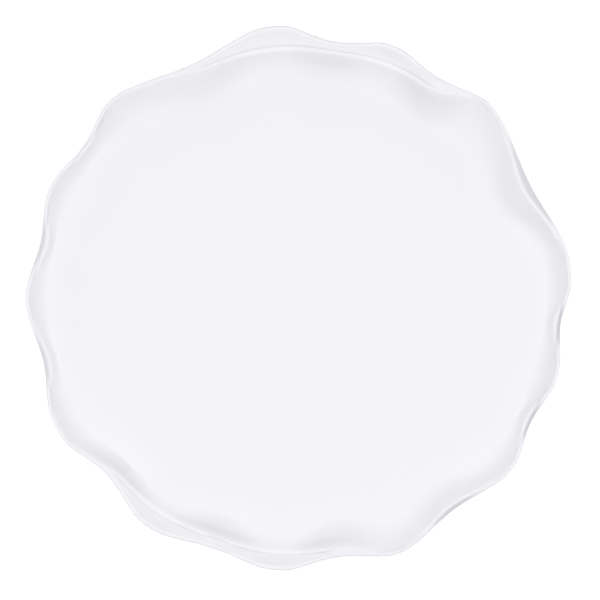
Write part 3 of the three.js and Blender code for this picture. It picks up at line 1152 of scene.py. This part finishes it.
@dataclass(frozen=True)
class GlazeRunAndPaintedLight:
    """The glaze's tone at each place, from 0, pale, to 1, dark. Its changes from the usual tone are painted
    shade and painted highlights, but for the streaks along the flap.

    Attributes:
        crest: Where the crest lies, as a share of the way up the wall.
        foot: Painted shade along the foot of the wall.
        foot_shade_sway: How much more that painted shade is at +Y, and less at -Y.
        foot_up: How far up the wall that reaches, as a share.
        foot_in: How far into the well it reaches, as a share of the way to the axis.
        rolled: How far the rim counts as rolled over, by its roll in metres.
        long_wall: How much of the painted shade on a rolled rim a long wall takes away, by its length in
            metres.
        roll: Painted shade on a rolled rim.
        roll_shade_sway: How much more that painted shade is at +X, and less at -X.
        roll_out: How that grows from the crest at 0 to the lip at 1.
        behind: Painted shade behind the ridge in a folded dip.
        behind_shade_sway: How much more that painted shade is at -Y, and less at +Y.
        behind_up: Where that is, as a share of the way up the wall.
        flap: Painted shade on the flap of a fold, from the ridge at 0 to the lip at 1.
        streak: How much the streaks along the flap add and take away.
        streaks: How many streaks the flap has.
        groove: Painted shade in the groove beyond the ridge.
        ridge_painted_highlight: Painted highlight on the ridge of a fold.
        ridge_width: How far that reaches to each side, as a share of the way up the wall.
        edge_painted_highlight: Painted highlight toward the lip of a fold.
        back: Painted shade on the back, by the share of the way up.
        back_edge: Share of the way up the back over which that fades again below the lip.
        lip: Tone round the lip, paler than the usual one: a painted highlight.
        rolled_lip_shade: Painted shade added to that on a rolled rim, by its roll in metres.
    """

    crest: float
    foot: float = 0.03
    foot_shade_sway: float = 0.05
    foot_up: float = 0.45
    foot_in: float = 0.3
    rolled: Rise = Rise(0.0004, 0.0012)
    long_wall: Rise = Rise(0.014, 0.008, 0.5)
    roll: float = 0.36
    roll_shade_sway: float = 0.14
    roll_out: Rise = Rise(0.06, 0.3)
    behind: float = 0.13
    behind_shade_sway: float = 0.05
    behind_up: Hump = Hump(0.42, 0.14)
    flap: Rise = Rise(0.05, 0.1, 0.05)
    streak: float = 0.03
    streaks: float = 4.0
    groove: Hump = Hump(0.15, 0.09, 0.35)
    ridge_painted_highlight: float = 0.25
    ridge_width: float = 0.03
    edge_painted_highlight: Rise = Rise(0.88, 0.12, 0.3)
    back: Rise = Rise(0.2, 0.3, 0.5)
    back_edge: float = 0.08
    lip: float = 0.3
    rolled_lip_shade: Rise = Rise(0.0, 0.0018, 0.6)

    def beyond_crest(self, share: float) -> float:
        """Return how far a place up the wall is beyond the crest: 0 there, 1 at the lip and less below."""
        return (share - self.crest) / (1.0 - self.crest)

    def foot_painted_shade(self, spot: RimSpot) -> float:
        """Return the painted shade along the foot of the wall."""
        return self.foot + self.foot_shade_sway * math.sin(spot.angle)

    def fold_painted_light(self, share: float) -> float:
        """Work out the painted shade and painted highlight on a fold with a sharp crease, and the streaks
        along its flap.

        Args:
            share: How far up the wall, from 0 to 1.

        Returns:
            What the fold adds to the tone.
        """
        out = self.beyond_crest(share)
        # Painted highlight on the ridge and toward the lip; beyond the crest, painted shade on the flap and
        # in the groove.
        painted_highlight = self.ridge_painted_highlight * swell(share, self.crest, self.ridge_width) + self.edge_painted_highlight.at(out)
        if out <= 0.0:
            return -painted_highlight
        streaks = self.streak * math.sin(math.tau * self.streaks * out)
        return self.flap.at(out) + streaks + self.groove.at(out) - painted_highlight

    def on_wall(self, spot: RimSpot, share: float) -> float:
        """Work out the tone on the wall and the flap, with painted shade and painted highlights.

        Args:
            spot: What the rim does there.
            share: How far up the wall, from 0 to 1.

        Returns:
            The tone, from 0 to 1.
        """
        # Painted shade along the foot of the wall, on rolled rims and behind folded ridges, each stronger on
        # one side of the plate than the other.
        foot = self.foot_painted_shade(spot) * ease(1.0 - share / self.foot_up)
        rolled = self.rolled.at(spot.roll) * (1.0 - spot.fold) * (1.0 - self.long_wall.at(spot.wall))
        roll = self.roll + self.roll_shade_sway * math.cos(spot.angle)
        behind = (self.behind - self.behind_shade_sway * math.sin(spot.angle)) * self.behind_up.at(share)
        pooled_and_shaded = foot + rolled * roll * self.roll_out.at(self.beyond_crest(share))
        pooled_and_shaded += spot.settle * spot.inward * behind
        return USUAL_DEPTH + pooled_and_shaded + spot.crease * self.fold_painted_light(share)

    def in_well(self, spot: RimSpot, share: float) -> float:
        """Return the tone in the well, with painted shade near the wall, from the wall at 0 to the axis at 1.
        """
        return USUAL_DEPTH + self.foot_painted_shade(spot) * ease(1.0 - share / self.foot_in)

    def on_back(self, spot: RimSpot, share: float) -> float:
        """Return the tone on the back of the wall, with painted shade, from its foot at 0 to the lip at 1."""
        return USUAL_DEPTH + self.back.at(share) * ease((1.0 - share) / self.back_edge)

    def lip_painted_light(self, spot: RimSpot, share: float) -> float:
        """Return the tone round the lip: a painted highlight, with painted shade where the rim rolls over."""
        return self.lip + self.rolled_lip_shade.at(spot.roll) * (1.0 - spot.fold)


@dataclass
class GlazeCoat:
    """The glaze fired onto the body, from the foot ring's outer side over the lip to the well.

    Attributes:
        section: The section of the plate.
        finish: The finish of the glaze.
        line: The edge of the glaze on the foot ring.
        steps: Steps in a full turn.
        foot_cuts: Cuts across the foot ring's outer side, with the underside beside it.
        wall_cuts: Cuts across each skin of the wall.
        lip_cuts: Cuts across the round of the lip.
        floor_cuts: Cuts across the floor of the well.
        hidden_foot_cuts: As foot_cuts, on the hidden face that lies on the body.
        hidden_wall_cuts: As wall_cuts, on the hidden face.
        hidden_lip_cuts: As lip_cuts, on the hidden face.
        hidden_floor_cuts: As floor_cuts, on the hidden face.
    """

    section: PlateSection
    finish: GlazeFinish
    line: GlazeLine = GlazeLine()
    steps: int = 312
    foot_cuts: int = 29
    wall_cuts: int = 41
    lip_cuts: int = 9
    floor_cuts: int = 11
    hidden_foot_cuts: int = 9
    hidden_wall_cuts: int = 20
    hidden_lip_cuts: int = 3
    hidden_floor_cuts: int = 1

    def foot_edge(self, spot: RimSpot, share: float) -> Vector:
        """Return a point up the foot ring, where the glaze starts in a small round bead."""
        return self.section.foot_outside(spot, share, self.section.glaze * self.line.thickness(share))

    def hidden_face(self) -> list[Stretch]:
        """Set out the face that lies on the body, from the axis over the lip to the foot ring.

        Returns:
            The stretches of the face.
        """
        section = self.section
        under, over = Side.UNDER, Side.OVER
        wall_cuts = self.hidden_wall_cuts
        return [
            Stretch(lambda spot, share: section.floor(spot, 1.0 - share, 0.0), self.hidden_floor_cuts),
            Stretch(lambda spot, share: section.skin(spot, share, over, 0.0), wall_cuts),
            Stretch(lambda spot, share: section.lip(spot, 1.0 - share, 0.0), self.hidden_lip_cuts),
            Stretch(lambda spot, share: section.skin(spot, 1.0 - share, under, 0.0), wall_cuts),
            Stretch(lambda spot, share: section.foot_outside(spot, 1.0 - share, 0.0), self.hidden_foot_cuts),
        ]

    def open_face(self) -> list[Stretch]:
        """Set out the face that shows, from the foot ring over the lip to the axis.

        Returns:
            The stretches of the face.
        """
        section, glaze = self.section, self.section.glaze
        under, over = Side.UNDER, Side.OVER
        # The painted shade and painted highlights that the glaze's colour carries on the coat.
        run = GlazeRunAndPaintedLight(section.ridge_share)
        return [
            Stretch(self.foot_edge, self.foot_cuts),
            Stretch(lambda spot, share: section.skin(spot, share, under, glaze), self.wall_cuts, run.on_back),
            Stretch(lambda spot, share: section.lip(spot, share, glaze), self.lip_cuts, run.lip_painted_light),
            Stretch(
                lambda spot, share: section.skin(spot, 1.0 - share, over, glaze),
                self.wall_cuts,
                lambda spot, share: run.on_wall(spot, 1.0 - share),
            ),
            Stretch(lambda spot, share: section.floor(spot, share, glaze), self.floor_cuts, run.in_well),
        ]

    def build(self) -> bpy.types.Object:
        """Build and dress the coat.

        Returns:
            The finished piece.
        """
        stretches = self.hidden_face() + self.open_face()
        piece = turned("coat_of_glaze", self.section.ruffle, stretches, self.steps)
        piece.data.materials.append(self.finish.material())
        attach(piece, "root")
        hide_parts("glaze_coat")
        return piece


@dataclass
class BaseGlaze:
    """The pool of glaze inside the foot ring.

    Attributes:
        section: The section of the plate.
        finish: The finish of the glaze.
        line: The edge of the glaze on the foot ring.
        corner: How much thicker the glaze lies in the corner of the ring, by the share of the open face.
        steps: Steps in a full turn.
        face_cuts: Cuts across the open face.
        hidden_cuts: Cuts across the hidden face that lies on the body.
    """

    section: PlateSection
    finish: GlazeFinish
    line: GlazeLine = GlazeLine()
    corner: Hump = Hump(0.5, 0.2, 0.4)
    steps: int = 156
    face_cuts: int = 29
    hidden_cuts: int = 9

    def face(self, spot: RimSpot, share: float) -> Vector:
        """Return a point of the open face, from the axis to the bead at the glaze line."""
        return self.section.foot_inside(share, self.section.glaze * self.line.thickness(1.0 - share))

    def depth(self, spot: RimSpot, share: float) -> float:
        """Return how thick the glaze lies: it pools in the corner of the ring."""
        return USUAL_DEPTH + self.corner.at(share)

    def build(self) -> bpy.types.Object:
        """Build and dress the pool.

        Returns:
            The finished piece.
        """
        section = self.section
        stretches = [
            Stretch(self.face, self.face_cuts, self.depth),
            Stretch(lambda spot, share: section.foot_inside(1.0 - share, 0.0), self.hidden_cuts),
        ]
        piece = turned("glaze_under_base", section.ruffle, stretches, self.steps)
        piece.data.materials.append(self.finish.material())
        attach(piece, "root")
        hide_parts("base_glaze")
        return piece


@dataclass(frozen=True)
class Softbox:
    """A soft studio lamp.

    Attributes:
        name: Name of the lamp.
        place: Where it hangs, in metres.
        size: Width and height of its face, in metres.
        power: Its power in watts.
        colour: Colour of its light.
    """

    name: str
    place: Place
    size: tuple[float, float]
    power: float
    colour: Colour = (1.0, 1.0, 1.0)

    def hang(self) -> bpy.types.Object:
        """Hang the lamp, facing the plate.

        Returns:
            The new lamp.
        """
        lamp = bpy.data.lights.new(self.name, "AREA")
        lamp.shape = "RECTANGLE"
        lamp.size, lamp.size_y = self.size
        lamp.energy = self.power
        lamp.color = self.colour
        hung = bpy.data.objects.new(self.name, lamp)
        hung.location = self.place
        hung.visible_glossy = False
        hung.rotation_euler = (-Vector(self.place)).to_track_quat("-Z", "Y").to_euler()
        bpy.context.scene.collection.objects.link(hung)
        return hung


@dataclass
class Studio:
    """The floor, lamps, world and camera of the picture. Lengths are in metres.

    Attributes:
        floor_size: Width of the floor.
        floor_gap: How far the floor lies below the foot ring, so that their faces don't coincide.
        floor_colour: Colour of the floor as it lights the plate.
        floor_shade: Colour of the floor where it is seen, under the lift.
        floor_lift: Glow that lifts the floor to white where it is seen.
        floor_near: Distance from the axis up to which the floor keeps the plate's shadow.
        floor_far: Distance beyond which the floor is plain white.
        world_colour: Colour of the light from all round.
        world_level: Strength of that light.
        camera_place: Where the camera hangs.
        picture_width: Width of the picture at the rim.
        picture_level: Height of the rim for that width.
        sensor: Width of the camera's sensor, in millimetres.
        lamps: The lamps.
    """

    floor_size: float = 8.0
    floor_gap: float = 0.00005
    floor_colour: Colour = (0.55, 0.55, 0.55)
    floor_shade: Colour = (0.4, 0.4, 0.4)
    floor_lift: float = 0.76
    floor_near: float = 0.4
    floor_far: float = 1.0
    world_colour: Colour = (0.96, 0.96, 1.0)
    world_level: float = 0.2
    camera_place: Place = (0.00126, -0.00101, 1.3)
    picture_width: float = 0.303
    picture_level: float = 0.016
    sensor: float = 36.0
    lamps: tuple[Softbox, ...] = (
        Softbox("lamp_overhead", (0.0, 0.0, 1.9), (2.4, 2.4), 11.25),
        Softbox("lamp_left", (-1.15, -0.05, 1.2), (1.2, 1.2), 13.5),
        Softbox("lamp_right", (1.15, 0.05, 1.2), (1.2, 1.2), 13.5),
    )

    def seen(self, board: NodeBoard) -> bpy.types.NodeSocket:
        """Make a mask that is 1 for rays that show the background: camera, glossy and transmission.

        Args:
            board: The board of the node tree that the mask is made in.

        Returns:
            The output that gives the mask.
        """
        path = board.add("ShaderNodeLightPath")
        shown = board.work_out("MAXIMUM", path.outputs["Is Camera Ray"], path.outputs["Is Glossy Ray"])
        return board.work_out("MAXIMUM", shown, path.outputs["Is Transmission Ray"])

    def floor_material(self) -> bpy.types.Material:
        """Build the floor's material, white where it is seen but for the shadow near the plate.

        Returns:
            The new material.
        """
        made = bpy.data.materials.new("pale_floor")
        made.use_nodes = True
        board = NodeBoard(made.node_tree)
        output = board.add("ShaderNodeOutputMaterial")
        plain = board.add("ShaderNodeBsdfDiffuse", Color=(*self.floor_colour, 1.0))
        shade = board.add("ShaderNodeBsdfDiffuse", Color=(*self.floor_shade, 1.0))
        lift = board.add("ShaderNodeEmission", Strength=self.floor_lift)
        lifted = board.add("ShaderNodeAddShader")
        board.join(shade.outputs["BSDF"], lifted.inputs[0])
        board.join(lift.outputs["Emission"], lifted.inputs[1])
        far = board.add("ShaderNodeVectorMath", operation="LENGTH")
        board.join(board.add("ShaderNodeTexCoord").outputs["Object"], far.inputs[0])
        clear = board.add("ShaderNodeMapRange", From_Min=self.floor_near, From_Max=self.floor_far)
        board.join(far.outputs["Value"], clear.inputs["Value"])
        white = board.add("ShaderNodeEmission", Strength=1.0)
        shown = board.blend(clear.outputs["Result"], lifted.outputs["Shader"], white.outputs["Emission"])
        board.join(board.blend(self.seen(board), plain.outputs["BSDF"], shown), output.inputs["Surface"])
        return made

    def lay_floor(self) -> bpy.types.Object:
        """Lay the floor.

        Returns:
            The floor.
        """
        work = bmesh.new()
        level = Matrix.Translation((0.0, 0.0, -self.floor_gap))
        bmesh.ops.create_grid(work, x_segments=1, y_segments=1, size=self.floor_size / 2.0, matrix=level)
        mesh = bpy.data.meshes.new("studio_floor")
        work.to_mesh(mesh)
        work.free()
        laid = bpy.data.objects.new("studio_floor", mesh)
        bpy.context.scene.collection.objects.link(laid)
        mesh.materials.append(self.floor_material())
        return laid

    def light_world(self) -> None:
        """Light the plate from all round, and show white behind it."""
        world = bpy.data.worlds.new("studio_world")
        world.use_nodes = True
        bpy.context.scene.world = world
        board = NodeBoard(world.node_tree)
        output = board.add("ShaderNodeOutputWorld")
        fill = board.add("ShaderNodeBackground", Color=(*self.world_colour, 1.0), Strength=self.world_level)
        white = board.add("ShaderNodeBackground", Color=(1.0, 1.0, 1.0, 1.0), Strength=1.0)
        shown = board.blend(self.seen(board), fill.outputs["Background"], white.outputs["Background"])
        board.join(shown, output.inputs["Surface"])

    def set_camera(self) -> bpy.types.Object:
        """Set the camera straight above the plate, so that the rim has the photograph's size.

        Returns:
            The camera.
        """
        lens = bpy.data.cameras.new("studio_camera")
        lens.sensor_width = self.sensor
        distance = self.camera_place[2] - self.picture_level
        lens.lens = self.sensor * distance / self.picture_width
        camera = bpy.data.objects.new("studio_camera", lens)
        camera.location = self.camera_place
        bpy.context.scene.collection.objects.link(camera)
        bpy.context.scene.camera = camera
        return camera

    def build(self) -> None:
        """Set up the whole studio."""
        self.lay_floor()
        self.light_world()
        for lamp in self.lamps:
            lamp.hang()
        self.set_camera()
        bpy.context.scene.view_settings.view_transform = "Standard"


# Its thin colour also paints highlights on ridges and lips, and its pooled colour paints shade on walls,
# rolled rims, flaps and backs.
WHITE_GLAZE = GlazeFinish(
    name="white_glaze",
    thin_and_highlit=(0.95, 0.945, 0.965),
    usual=(0.885, 0.878, 0.913),
    pooled_and_shaded=(0.68, 0.677, 0.72),
    gloss=(0.07, 0.13),
    ripple=1.0,
    drift=0.05,
)
BASE_GLAZE = GlazeFinish(
    name="glaze_inside_foot",
    thin_and_highlit=(0.92, 0.91, 0.91),
    usual=(0.875, 0.868, 0.905),
    pooled_and_shaded=(0.85, 0.848, 0.895),
    gloss=(0.1, 0.2),
    ripple=1.6,
    drift=0.4,
)
BARE_CERAMIC = BareFinish(
    name="bare_ceramic",
    clay=(0.8, 0.775, 0.725),
    speck=(0.66, 0.63, 0.58),
)


def main() -> None:
    """Build the plate and its studio."""
    logging.basicConfig(level=logging.INFO, format="%(name)s: %(message)s")
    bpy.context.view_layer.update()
    section = PlateSection(Ruffle(), FootSizes.from_frame())
    builders = (
        CeramicBody(section, BARE_CERAMIC),
        GlazeCoat(section, WHITE_GLAZE),
        BaseGlaze(section, BASE_GLAZE),
    )
    for builder in builders:
        piece = builder.build()
        LOG.info("%s: %d faces", piece.name, len(piece.data.polygons))
    Studio().build()


if __name__ == "__main__":
    main()
